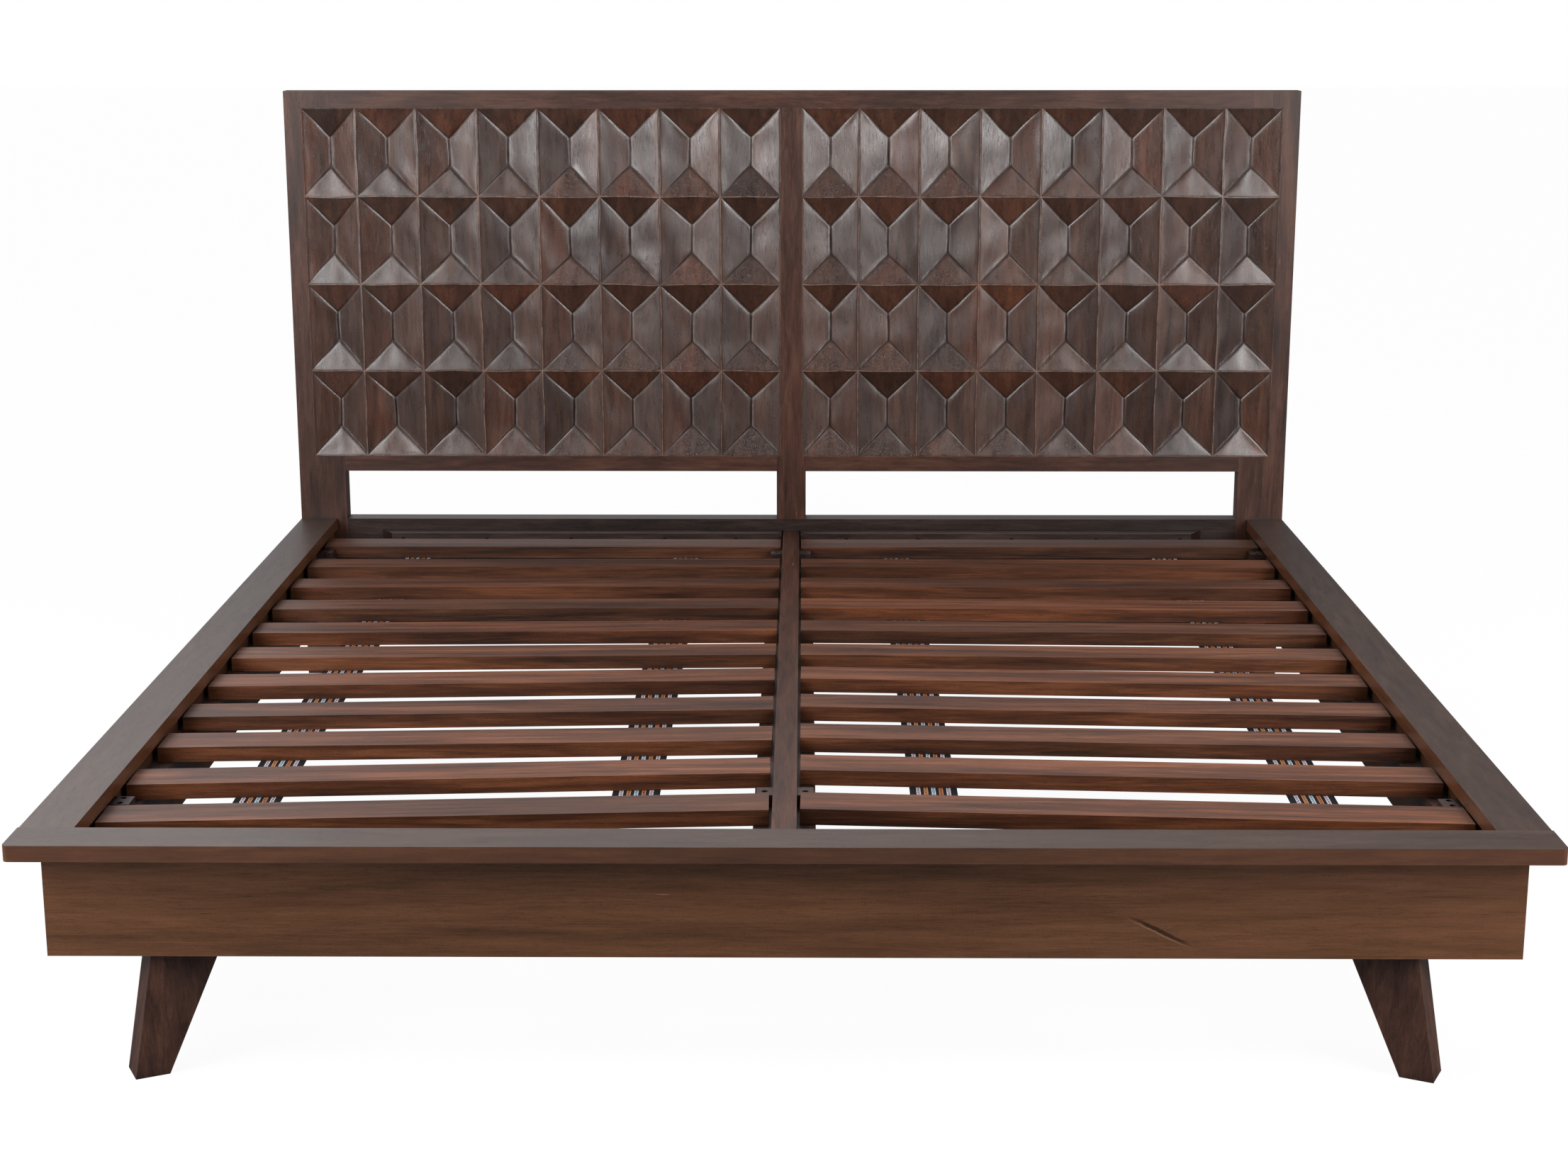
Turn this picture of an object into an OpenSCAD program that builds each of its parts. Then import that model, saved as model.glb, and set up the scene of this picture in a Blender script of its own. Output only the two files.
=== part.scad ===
// King size platform bed with a carved headboard.
// Origin: middle of the whole bed on the floor. +Y towards the headboard, +Z up.

/* [Overall] */
// Width across the headboard and the side caps
bed_w = 2106; // [1700:2:2300]
// Length from the front of the foot cap to the back of the headboard
bed_l = 2180; // [1900:5:2300]
// Height of the top of the caps above the floor
cap_top_z = 345; // [320:1:380]
// Height of the headboard above the top of the caps
head_h = 904; // [860:1:960]

/* [Platform] */
// Width of each side cap
side_cap_w = 76; // [70:1:90]
// Width of the foot cap
foot_cap_w = 78; // [70:1:90]
// Thickness of the caps
cap_t = 23; // [18:1:30]
// How far the foot cap stands proud of each side cap
foot_cap_proud = 2; // [0:0.5:4]
// Radius of the foot cap's two front corners
foot_cap_r = 8; // [3:1:20]
// How far the caps overhang the rails on the outside
overhang = 39; // [30:1:45]
// Thickness of the side rails and the foot rail
rail_t = 30; // [25:1:35]
// Height of the side rails and the foot rail
rail_h = 150; // [130:1:160]

/* [Slats] */
// Slats in each bank
slat_count = 11; // [9:1:11]
// Width of a slat, front to back
slat_w = 77; // [60:1:85]
// Thickness of a slat
slat_t = 23.5; // [18:0.5:26]
// Depth of the slat tops below the top of the caps
slat_drop = 25; // [23:1:40]
// Spacing of the slats between the two end ones
slat_pitch = 177.5; // [150:0.5:178]
// Spacing between the first slat and the second
first_pitch = 192.5; // [160:0.5:193]
// Spacing between the last slat and the one before it
last_pitch = 164; // [140:1:165]
// Distance from the headboard to the front edge of the first slat
first_slat = 166.5; // [150:0.5:170]
// Left slats that lie askew: number, outer end's and inner end's shift towards the head
left_askew = [[7, -5, 5], [8, -10, 0], [10, -10, 5], [11, -20, -10]];
// Right slats that lie askew, in the same way
right_askew = [[7, 5, 15], [8, 5, 15], [9, 10, 15], [10, 10, 20], [11, -15, -5]];

/* [Centre rail and ledgers] */
// Thickness of the centre rail
centre_rail_t = 35; // [30:1:45]
// Height of the centre rail
centre_rail_h = 90; // [80:1:100]
// Depth of the centre rail's back end below the top of the caps
centre_drop = 26; // [24:1:30]
// How much higher the centre rail's front end sits than its back end
centre_rise = 20; // [0:1:20]
// Width of each side ledger
ledger_w = 32; // [25:1:35]
// Height of each side ledger
ledger_h = 38; // [30:1:45]
// Width of each ledger on the centre rail
centre_ledger_w = 27; // [22:1:32]
// Height of each ledger on the centre rail
centre_ledger_h = 30; // [25:1:33]
// Length of a stop block
block_l = 38; // [30:1:45]
// Height of a stop block
block_h = 18; // [14:1:20]

/* [Webbing] */
// Width of a webbing tape
tape_w = 72; // [50:1:80]
// Thickness of a webbing tape
tape_t = 1.6; // [1:0.1:2.5]
// Distance of the inner and outer tapes from the middle of the bed
tape_x = [220, 780];

/* [Headboard] */
// Thickness of the headboard frame
head_t = 45; // [40:1:55]
// Width of the outer posts
post_w = 98; // [90:1:110]
// Width of the centre post
centre_post_w = 62; // [56:2:70]
// Width of the post left showing beside a panel
post_border = 35; // [30:1:45]
// Width of the strip left showing between the panels
centre_strip = 44; // [40:2:50]
// Height of the top rail left showing above the panels
top_border = 34; // [30:1:45]
// Height of the open gap above the caps
gap_h = 104.5; // [80:0.5:130]
// Height of the panel rail left showing below the panels
panel_border = 32.5; // [28:0.5:40]
// Height of the lower rail, from the top of the caps down
lower_rail_h = 255; // [175:1:300]
// Thickness of a carved panel
panel_t = 32; // [28:1:34]

/* [Carving] */
// Columns of carved cells in a panel
cell_columns = 8; // [8:1:9]
// Rows of carved cells in a panel
cell_rows = 4; // [3:1:4]
// Width of the left panel's outermost column, which is cut narrow
left_outer_cell_w = 112; // [105:1:124]
// Width of the right panel's innermost and outermost columns
right_edge_cell_w = 119; // [112:1:124]
// Depth of a cell at its valley
cell_depth = 20; // [10:1:22]
// Width of the flat crest left between two cells
cell_land = 2; // [1:0.5:5]

/* [Front legs] */
// Turn of a front leg about the vertical
leg_turn = 26; // [15:1:35]
// Width of the leg's broad face at the floor
leg_foot_w = 47.5; // [40:0.5:60]
// Width of the leg's broad face at the top
leg_top_w = 100; // [80:1:110]
// Depth of the leg
leg_d = 48; // [40:1:55]
// How far the leg's outer edge leans out from top to floor
leg_lean_out = 35.4; // [10:0.1:40]
// How far the leg's front face leans forwards from top to floor
leg_lean_front = 22.5; // [5:0.5:25]
// Distance of the leg's front corner at the floor from the bed's side
leg_inset_x = 157.5; // [150:0.5:170]
// Distance of the leg's front corner at the floor from the foot cap's front
leg_inset_y = 13.5; // [5:0.5:20]

/* [Hidden] */
$fn = 32;
eps = 1;                     // how far a cutter runs past the face it cuts
fit = 0.2;                   // clearance around a joint inside the frame
lift_gap = 0.3;              // clearance under the pieces that lift out
head_y = bed_l / 2 - head_t; // front face of the headboard
foot_y = -bed_l / 2;         // front edge of the foot cap
open_y = foot_y + foot_cap_w;
cap_bottom_z = cap_top_z - cap_t;
rail_bottom_z = cap_bottom_z - rail_h;
rail_x = bed_w / 2 - overhang;
rail_in_x = rail_x - rail_t;
foot_rail_y = foot_y + overhang;
foot_rail_in_y = foot_rail_y + rail_t;
cap_in_x = bed_w / 2 - side_cap_w;
head_top_z = cap_top_z + head_h;

// Headboard
gap_top_z = cap_top_z + gap_h;
panel_bottom_z = gap_top_z + panel_border;
panel_top_z = head_top_z - top_border;
panel_in_x = centre_strip / 2;
panel_out_x = bed_w / 2 - post_border;
post_in_x = bed_w / 2 - post_w;
panel_back_y = head_y + panel_t;
lip = 35;                    // height of the lips behind a panel
lower_rail_bottom_z = cap_top_z - lower_rail_h;
tenon_t = 15;
tenon_l = 35;
short_tenon_l = 25;
tenon_inset = 4;
upright_shoulder = 8;
tenon_y = head_y + (head_t - tenon_t) / 2;

// Ledgers and centre rail
ledger_top_z = cap_top_z - slat_drop - slat_t;
centre_run = head_y - open_y - 0.5;
centre_tilt = atan(centre_rise / centre_run);
centre_top_z = cap_top_z - centre_drop;
centre_ledger_drop = slat_t + 1;
centre_ledger_x = centre_rail_t / 2 + centre_ledger_w;
ledger_end_gap = 5;
corner_block = [40, 40, 108];

// Slats
slat_end_gap = 2.3;
slat_out_x = cap_in_x - slat_end_gap;
slat_in_x = centre_rail_t / 2 + 4;
slat_l = slat_out_x - slat_in_x;
slat_seat_z = ledger_top_z + lift_gap;
slat_run = slat_out_x - centre_ledger_x;

function slat_y(k) =
    head_y - first_slat
    - (k > 1 ? first_pitch : 0)
    - slat_pitch * max(0, min(k, slat_count - 1) - 2)
    - (k == slat_count ? last_pitch : 0);
function centre_ledger_z(y) =
    centre_top_z + (head_y - y) * tan(centre_tilt) - centre_ledger_drop / cos(centre_tilt);
function slat_slope(y) = (centre_ledger_z(y) + lift_gap - slat_seat_z) / slat_run;
function slat_bottom_z(x, y) = slat_seat_z + (slat_out_x - abs(x)) * slat_slope(y);
function centre_rail_bottom_z(y) =
    centre_top_z + (head_y - y) * tan(centre_tilt) - centre_rail_h / cos(centre_tilt);

function askew(side, k) =
    let (found = [for (slat = side < 0 ? left_askew : right_askew) if (slat[0] == k) slat])
    len(found) > 0 ? found[0] : [k, 0, 0];
function outer_shift(side, k) = askew(side, k)[1];
function inner_shift(side, k) = askew(side, k)[2];
function shift_at(side, k, x) =
    inner_shift(side, k)
    + (outer_shift(side, k) - inner_shift(side, k)) * (x - slat_in_x) / slat_l;

last_slat_y = slat_y(slat_count);
first_slat_y = slat_y(1);
block_gap = 2;
front_block_y = last_slat_y + slat_w + block_gap;
back_block_y = first_slat_y - block_gap - block_l;
side_block_x = [rail_in_x - ledger_w + 1, rail_in_x - 1];
centre_block_w = 24;

// Head cleats
cleat_d = 42;
cleat_h = 32;
cleat_top_z = cap_top_z - 23;
cleat_in_x = 20;
cleat_out_x = 879;
cleat_bevel = 26;
cleat_screw_x = [118, 270, 470, 650, 829];
cleat_screw_drop = 14;

// Screws: shank, head, and the space they need
screw_d = 4;
screw_head_d = 8;
screw_head_h = 3;
bore_gap = 0.05;
sink_d = 9.5;                // recess that hides a screw head
panel_screw_l = 30;
cleat_screw_l = 60;
cleat_sink = 8;
block_screw_l = 34;
block_sink = 5;
ledger_screw_l = 50;
ledger_sink = 6;
ledger_screw_n = 7;
ledger_screw_margin = 120;   // from a ledger's end to its first screw
centre_screw_l = 34;
centre_screw_step = 20;      // every other centre ledger screw sits this much further along
centre_screw_shift = 40;     // between the two centre ledgers' screws
panel_screw_in = 90;         // from the panel's inner edge to its first screw
panel_screw_out = 130;       // from the panel's outer edge to its last screw
panel_screw_up = 100;        // from the panel's ends to the screws up its side
block_screw_share = [0.2, 0.8];

// Hidden supports
mount_block = [234, 100, 40];
leg_bolt_d = 8;
leg_bore_d = leg_bolt_d + 2 * bore_gap;
leg_bolt_share = 0.62;       // how far across the leg's widened top the bolt sits
leg_bolt_up = 30;
leg_bolt_down = 50;
support_w = 45;
support_y = [-400, 350];
bracket_t = 4;
bracket_w = 60;
bracket_z = [180, 252];
bracket_bolt_z = [198, 234];
bracket_bolt_y = 38;         // from the headboard to the bolts in the side rail
post_bolt_x = 13;            // from the side rail's inner face to the bolts in the post
rail_bolt_x = 46;            // from there to the bolts in the lower rail
hanger_t = 3;
hanger_l = 46;
hanger_side = 33;
hanger_extra = 10;           // how much longer the foot end's hanger is
hanger_flange = 50;          // half the width of a hanger's back plate
hanger_slack = 0.6;          // gap under the centre rail
hanger_bolt_x = 36;
hanger_bolt_up = 16;
bolt_d = 8;
bolt_head_d = 14;
bolt_head_h = 5;
bolt_l = 28;
tape_end_in = 2;             // from a tape's end to the end slat's outer edge
staple = [12, 1.3, 0.8];
staple_gap = 0.7;
staples_across = 3;

leg_h = rail_bottom_z;
leg_corner = [bed_w / 2 - leg_inset_x, foot_y + leg_inset_y];

frame_color = "#4a3229";
panel_color = "#3f2c26";
slat_color = "#7a4732";
ledger_color = "#3a2a24";
tape_color = "#1c2230";
steel_color = "#a7a9ac";

slat_names = [for (side = ["left", "right"], k = [1:slat_count]) slat_name(side, k)];

function slat_name(side, k) = str("slat_", side, "_", k < 10 ? "0" : "", k);

// ---------- helpers ----------

// A box from its lowest corner to its highest corner.
module box(low, high) {
    translate(low) cube(high - low);
}

// The right-hand half as drawn, or its mirror image on the left.
module on_side(side) {
    if (side < 0) mirror([1, 0, 0]) children();
    else children();
}

module both_sides() {
    for (side = [-1, 1]) on_side(side) children();
}

// A screw whose head is flush with z = 0 and whose shank points down.
module screw(length, gap = 0) {
    translate([0, 0, -length - gap]) cylinder(d = screw_d + 2 * gap, h = length + gap);
    translate([0, 0, -screw_head_h])
        cylinder(d1 = screw_d + 2 * gap, d2 = screw_head_d + 2 * gap, h = screw_head_h);
}

// The space for a screw, with a round recess above its head.
module screw_space(length, sink = 0) {
    screw(length, bore_gap);
    if (sink > 0) cylinder(d = sink_d, h = sink + eps);
}

// A hexagon-head bolt whose head sits on z = 0 and whose shank points down.
module bolt(length) {
    translate([0, 0, -length]) cylinder(d = bolt_d, h = length + 1);
    cylinder(d = bolt_head_d, h = bolt_head_h, $fn = 6);
}

module bolt_space() {
    cylinder(d = bolt_d + 2 * bore_gap, h = 2 * bolt_l, center = true);
}

// ---------- places ----------

module facing_back(x, z) {
    translate([x, bed_l / 2, z]) rotate([-90, 0, 0]) children();
}

// Screw places around one panel, on the right-hand side.
module panel_screw_places() {
    rows = [panel_bottom_z + lip / 2, panel_top_z - lip / 2];
    across = panel_out_x - panel_in_x;
    up = panel_top_z - panel_bottom_z;
    for (z = rows, i = [0:4])
        facing_back(panel_in_x + panel_screw_in + i * (across - panel_screw_in - panel_screw_out) / 4, z)
            children();
    for (i = [0:3])
        facing_back((post_in_x + panel_out_x) / 2,
                    panel_bottom_z + panel_screw_up + i * (up - 2 * panel_screw_up) / 3)
            children();
}

// Screw places on one cleat, on the right-hand side, at the bottom of each recess.
module cleat_screw_places() {
    for (x = cleat_screw_x)
        translate([x, head_y - cleat_d + cleat_sink, cleat_top_z - cleat_screw_drop])
            rotate([90, 0, 0]) children();
}

// Screw places on the two side blocks on the right-hand side.
module side_block_screw_places() {
    for (y = [front_block_y, back_block_y], t = block_screw_share)
        translate([(side_block_x[0] + side_block_x[1]) / 2, y + t * block_l,
                   ledger_top_z + block_h - block_sink])
            children();
}

// Screw places on the two centre blocks on the right-hand side, in the centre rail's frame.
module centre_block_screw_places() {
    for (y = [front_block_y, back_block_y])
        translate([centre_rail_t / 2 + centre_block_w / 2, y - head_y + block_l / 2,
                   block_h - centre_ledger_drop - block_sink])
            children();
}

module side_ledger_screw_places() {
    span = head_y - foot_rail_in_y - 2 * ledger_screw_margin;
    for (i = [0:ledger_screw_n - 1])
        translate([rail_in_x - ledger_w + ledger_sink,
                   foot_rail_in_y + ledger_screw_margin + i * span / (ledger_screw_n - 1),
                   ledger_top_z - ledger_h / 2])
            rotate([0, -90, 0]) children();
}

// The centre rail's own frame: y runs from 0 at the headboard, z = 0 is the rail's top.
module in_centre_frame() {
    translate([0, head_y, centre_top_z]) rotate([-centre_tilt, 0, 0]) children();
}

module centre_ledger_screw_places() {
    span = centre_run - 2 * ledger_screw_margin;
    for (i = [0:ledger_screw_n - 1])
        translate([centre_ledger_x - ledger_sink,
                   -ledger_screw_margin - i * span / (ledger_screw_n - 1)
                       - (i % 2) * centre_screw_step,
                   -centre_ledger_drop - centre_ledger_h / 2])
            rotate([0, 90, 0]) children();
}

module leg_bolt_place() {
    widening = leg_lean_out + leg_top_w - leg_foot_w;
    top_mid = [leg_foot_w / 2 + widening * leg_bolt_share, leg_d / 2 + leg_lean_front];
    translate([leg_corner[0], leg_corner[1], leg_h])
        rotate([0, 0, 180 - leg_turn])
            translate([top_mid[0], -top_mid[1], 0]) children();
}

// ---------- headboard ----------

module tenon_in_post(z0, z1, gap = 0) {
    box([post_in_x - eps, tenon_y - gap, z0 + tenon_inset - gap],
        [post_in_x + tenon_l + gap, tenon_y + tenon_t + gap, z1 - tenon_inset + gap]);
}

module tenon_in_centre_post(z0, z1, gap = 0) {
    box([centre_post_w / 2 - short_tenon_l - gap, tenon_y - gap, z0 + tenon_inset - gap],
        [centre_post_w / 2 + eps, tenon_y + tenon_t + gap, z1 - tenon_inset + gap]);
}

module upright_tenon(z0, z1, gap = 0) {
    half = centre_post_w / 2 - upright_shoulder;
    box([-half - gap, tenon_y - gap, z0], [half + gap, tenon_y + tenon_t + gap, z1]);
}

module panel_space() {
    box([panel_in_x, head_y - eps, panel_bottom_z], [panel_out_x, panel_back_y, panel_top_z]);
}

module outer_post() {
    difference() {
        box([post_in_x, head_y, 0], [bed_w / 2, bed_l / 2, head_top_z]);
        panel_space();
        tenon_in_post(panel_top_z, head_top_z, fit);
        tenon_in_post(gap_top_z, panel_bottom_z, fit);
        tenon_in_post(lower_rail_bottom_z, cap_top_z, fit);
        panel_screw_places() screw_space(panel_screw_l);
        post_bolt_places() bolt_space();
    }
}

module headboard_left_post() {
    color(frame_color) on_side(-1) outer_post();
}

module headboard_right_post() {
    color(frame_color) outer_post();
}

module headboard_centre_post() {
    color(frame_color) difference() {
        union() {
            box([-centre_post_w / 2, head_y, cap_top_z], [centre_post_w / 2, bed_l / 2, panel_top_z]);
            upright_tenon(cap_top_z - tenon_l, cap_top_z + eps);
            upright_tenon(panel_top_z - eps, panel_top_z + short_tenon_l);
        }
        both_sides() {
            panel_space();
            tenon_in_centre_post(gap_top_z, panel_bottom_z, fit);
        }
        box([-centre_post_w, panel_back_y, panel_top_z - lip],
            [centre_post_w, bed_l / 2 + eps, panel_top_z]);
    }
}

module headboard_top_rail() {
    color(frame_color) difference() {
        union() {
            box([-post_in_x, head_y, panel_top_z], [post_in_x, bed_l / 2, head_top_z]);
            box([-post_in_x, panel_back_y, panel_top_z - lip], [post_in_x, bed_l / 2, panel_top_z + eps]);
            both_sides() tenon_in_post(panel_top_z, head_top_z);
        }
        upright_tenon(panel_top_z - eps, panel_top_z + short_tenon_l + fit, fit);
        both_sides() panel_screw_places() screw_space(panel_screw_l);
    }
}

module panel_rail() {
    difference() {
        union() {
            box([centre_post_w / 2, head_y, gap_top_z], [post_in_x, bed_l / 2, panel_bottom_z]);
            box([centre_post_w / 2, panel_back_y, panel_bottom_z - eps],
                [post_in_x, bed_l / 2, panel_bottom_z + lip]);
            tenon_in_post(gap_top_z, panel_bottom_z);
            tenon_in_centre_post(gap_top_z, panel_bottom_z);
        }
        panel_screw_places() screw_space(panel_screw_l);
    }
}

module headboard_panel_rail_left() {
    color(frame_color) on_side(-1) panel_rail();
}

module headboard_panel_rail_right() {
    color(frame_color) panel_rail();
}

module headboard_lower_rail() {
    color(frame_color) difference() {
        union() {
            box([-post_in_x, head_y, lower_rail_bottom_z], [post_in_x, bed_l / 2, cap_top_z]);
            both_sides() tenon_in_post(lower_rail_bottom_z, cap_top_z);
        }
        upright_tenon(cap_top_z - tenon_l - fit, cap_top_z + eps, fit);
        both_sides() {
            cleat_screw_places() screw_space(cleat_screw_l);
            rail_bolt_places() bolt_space();
            post_bolt_places() bolt_space();
        }
        centre_hanger_bolt_places(head_y, 90) bolt_space();
    }
}

// One carved cell: a long valley with four sloping sides that meet in 45 degree hips.
module cell_cut(w, h) {
    half = w / 2;
    over = eps * half / cell_depth;
    intersection() {
        translate([0, 0, -h]) linear_extrude(3 * h)
            polygon([[-over, -eps], [w + over, -eps], [half, cell_depth]]);
        translate([-w, 0, 0]) rotate([90, 0, 90]) linear_extrude(3 * w)
            polygon([[-eps, -over], [cell_depth, half], [cell_depth, h - half], [-eps, h + over]]);
    }
}

// A panel with even columns of cells between its innermost and its outermost one.
module carved_panel(inner_w, outer_w) {
    even_w = (panel_out_x - panel_in_x - inner_w - outer_w) / (cell_columns - 2);
    cell_h = (panel_top_z - panel_bottom_z) / cell_rows;
    difference() {
        box([panel_in_x + fit, head_y, panel_bottom_z + fit],
            [panel_out_x - fit, panel_back_y, panel_top_z - fit]);
        for (i = [0:cell_columns - 1], j = [0:cell_rows - 1]) {
            start = i == 0 ? 0 : inner_w + (i - 1) * even_w;
            w = i == 0 ? inner_w : (i == cell_columns - 1 ? outer_w : even_w);
            translate([panel_in_x + start + cell_land / 2, head_y,
                       panel_bottom_z + j * cell_h + cell_land / 2])
                cell_cut(w - cell_land, cell_h - cell_land);
        }
        panel_screw_places() screw_space(panel_screw_l);
    }
}

module carved_panel_left() {
    inner_w = (panel_out_x - panel_in_x - left_outer_cell_w) / (cell_columns - 1);
    color(panel_color) on_side(-1) carved_panel(inner_w, left_outer_cell_w);
}

module carved_panel_right() {
    color(panel_color) carved_panel(right_edge_cell_w, right_edge_cell_w);
}

module panel_screws() {
    color(steel_color) both_sides() panel_screw_places() screw(panel_screw_l);
}

// ---------- platform ----------

module head_cleat() {
    y0 = head_y - cleat_d;
    difference() {
        translate([0, 0, cleat_top_z - cleat_h]) linear_extrude(cleat_h)
            polygon([[cleat_in_x, y0], [cleat_out_x - cleat_bevel, y0],
                     [cleat_out_x, head_y], [cleat_in_x, head_y]]);
        cleat_screw_places() screw_space(cleat_screw_l, cleat_sink);
    }
}

module head_cleat_left() {
    color(frame_color) on_side(-1) head_cleat();
}

module head_cleat_right() {
    color(frame_color) head_cleat();
}

module side_rail() {
    difference() {
        box([rail_in_x, foot_rail_in_y, rail_bottom_z], [rail_x, head_y, cap_bottom_z]);
        side_ledger_screw_places() screw_space(ledger_screw_l);
        side_bolt_places() bolt_space();
    }
}

module left_side_rail() {
    color(frame_color) on_side(-1) side_rail();
}

module right_side_rail() {
    color(frame_color) side_rail();
}

module foot_rail() {
    color(frame_color) difference() {
        box([-rail_x, foot_rail_y, rail_bottom_z], [rail_x, foot_rail_in_y, cap_bottom_z]);
        centre_hanger_bolt_places(foot_rail_in_y, -90) bolt_space();
    }
}

module side_cap() {
    box([cap_in_x, open_y, cap_bottom_z], [bed_w / 2, head_y, cap_top_z]);
}

module left_side_cap() {
    color(frame_color) on_side(-1) side_cap();
}

module right_side_cap() {
    color(frame_color) side_cap();
}

module foot_cap() {
    half = bed_w / 2 + foot_cap_proud;
    color(frame_color) translate([0, 0, cap_bottom_z]) linear_extrude(cap_t) {
        translate([-half, foot_y + foot_cap_r]) square([2 * half, foot_cap_w - foot_cap_r]);
        translate([-half + foot_cap_r, foot_y]) square([2 * (half - foot_cap_r), foot_cap_w]);
        for (s = [-1, 1]) translate([s * (half - foot_cap_r), foot_y + foot_cap_r]) circle(foot_cap_r);
    }
}

module centre_rail() {
    color(frame_color) difference() {
        in_centre_frame() difference() {
            box([-centre_rail_t / 2, -centre_run, -centre_rail_h], [centre_rail_t / 2, 0, 0]);
            centre_ledger_screw_places() screw_space(centre_screw_l);
            mirror([1, 0, 0]) translate([0, -centre_screw_shift, 0]) centre_ledger_screw_places()
                screw_space(centre_screw_l);
        }
        for (y = support_y)
            translate([0, y, 0])
                cylinder(d = leg_bore_d, h = centre_rail_bottom_z(y) + leg_bolt_up + fit);
    }
}

module side_ledger() {
    difference() {
        box([rail_in_x - ledger_w, foot_rail_in_y + corner_block[1] + fit, ledger_top_z - ledger_h],
            [rail_in_x, head_y - ledger_end_gap, ledger_top_z]);
        side_ledger_screw_places() screw_space(ledger_screw_l, ledger_sink);
        side_block_screw_places() screw_space(block_screw_l);
    }
}

module left_ledger() {
    color(ledger_color) on_side(-1) side_ledger();
}

module right_ledger() {
    color(ledger_color) side_ledger();
}

// shift moves the ledger's screws along, so that the two ledgers' screws don't meet.
module centre_ledger(shift) {
    in_centre_frame() difference() {
        box([centre_rail_t / 2, -centre_run + ledger_end_gap, -centre_ledger_drop - centre_ledger_h],
            [centre_ledger_x, -cleat_d - ledger_end_gap, -centre_ledger_drop]);
        translate([0, shift, 0]) centre_ledger_screw_places()
            screw_space(centre_screw_l, ledger_sink);
        centre_block_screw_places() screw_space(block_screw_l);
    }
}

module centre_ledger_left() {
    color(ledger_color) on_side(-1) centre_ledger(-centre_screw_shift);
}

module centre_ledger_right() {
    color(ledger_color) centre_ledger(0);
}

module stop_blocks() {
    color(ledger_color) both_sides() {
        difference() {
            for (y = [front_block_y, back_block_y])
                box([side_block_x[0], y, ledger_top_z],
                    [side_block_x[1], y + block_l, ledger_top_z + block_h]);
            side_block_screw_places() screw_space(block_screw_l, block_sink);
        }
        in_centre_frame() difference() {
            for (y = [front_block_y, back_block_y])
                translate([centre_rail_t / 2, y - head_y, -centre_ledger_drop])
                    cube([centre_block_w, block_l, block_h]);
            centre_block_screw_places() screw_space(block_screw_l, block_sink);
        }
    }
}

module wood_screws() {
    color(steel_color) {
        both_sides() {
            cleat_screw_places() screw(cleat_screw_l);
            side_block_screw_places() screw(block_screw_l);
            side_ledger_screw_places() screw(ledger_screw_l);
            in_centre_frame() centre_block_screw_places() screw(block_screw_l);
        }
        in_centre_frame() {
            centre_ledger_screw_places() screw(centre_screw_l);
            mirror([1, 0, 0]) translate([0, -centre_screw_shift, 0]) centre_ledger_screw_places()
                screw(centre_screw_l);
        }
    }
}

// ---------- slats and webbing ----------

// A slat lies at the slope of its foremost corner, so that all of it clears the tapes.
module slat(side, k) {
    outer = outer_shift(side, k);
    inner = inner_shift(side, k);
    tilt = atan(slat_slope(slat_y(k) + min(outer, inner)));
    turn = asin((outer - inner) / slat_l);
    color(slat_color) on_side(side)
        translate([slat_out_x, slat_y(k) + outer, slat_seat_z]) rotate([0, tilt, turn])
            translate([-slat_l, 0, 0]) cube([slat_l, slat_w, slat_t]);
}

// A flat tape under the slats, a little lower than their undersides.
module tape(x) {
    x0 = x - tape_w / 2;
    x1 = x + tape_w / 2;
    y0 = last_slat_y + tape_end_in;
    y1 = first_slat_y + slat_w - tape_end_in;
    under = 0.1;
    function top(x, y) = slat_bottom_z(x, y) - under;
    base = [[x0, y0], [x1, y0], [x1, y1], [x0, y1]];
    points = concat([for (p = base) [p[0], p[1], top(p[0], p[1]) - tape_t]],
                    [for (p = base) [p[0], p[1], top(p[0], p[1])]]);
    polyhedron(points, [[0, 1, 3], [1, 2, 3], [4, 7, 5], [5, 7, 6], [0, 5, 1], [0, 4, 5],
                        [1, 6, 2], [1, 5, 6], [2, 7, 3], [2, 6, 7], [3, 4, 0], [3, 7, 4]]);
}

module tapes(side) {
    color(tape_color) on_side(side) for (x = tape_x) tape(x);
}

module left_tapes() {
    tapes(-1);
}

module right_tapes() {
    tapes(1);
}

module staples(side) {
    step = tape_w / staples_across;
    y_in = slat_w / 2;
    color(steel_color) on_side(side)
        for (x = tape_x, k = [1:slat_count], i = [0:staples_across - 1]) {
            sx = x + (i - (staples_across - 1) / 2) * step;
            sy = slat_y(k) + y_in + shift_at(side, k, sx);
            sz = slat_bottom_z(sx + staple[0] / 2, sy) - tape_t - staple_gap - staple[2];
            translate([sx - staple[0] / 2, sy, sz]) cube(staple);
        }
}

module left_staples() {
    staples(-1);
}

module right_staples() {
    staples(1);
}

// ---------- feet and hidden hardware ----------

module foot_corner_blocks() {
    z0 = rail_bottom_z + mount_block[2];
    color(ledger_color) both_sides()
        translate([rail_in_x - corner_block[0], foot_rail_in_y, z0]) cube(corner_block);
}

module leg_mounting_blocks() {
    color(ledger_color) both_sides() difference() {
        translate([rail_in_x - mount_block[0], foot_rail_in_y, rail_bottom_z]) cube(mount_block);
        leg_bolt_place() translate([0, 0, -eps]) cylinder(d = leg_bore_d, h = leg_bolt_up + fit + eps);
    }
}

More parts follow.
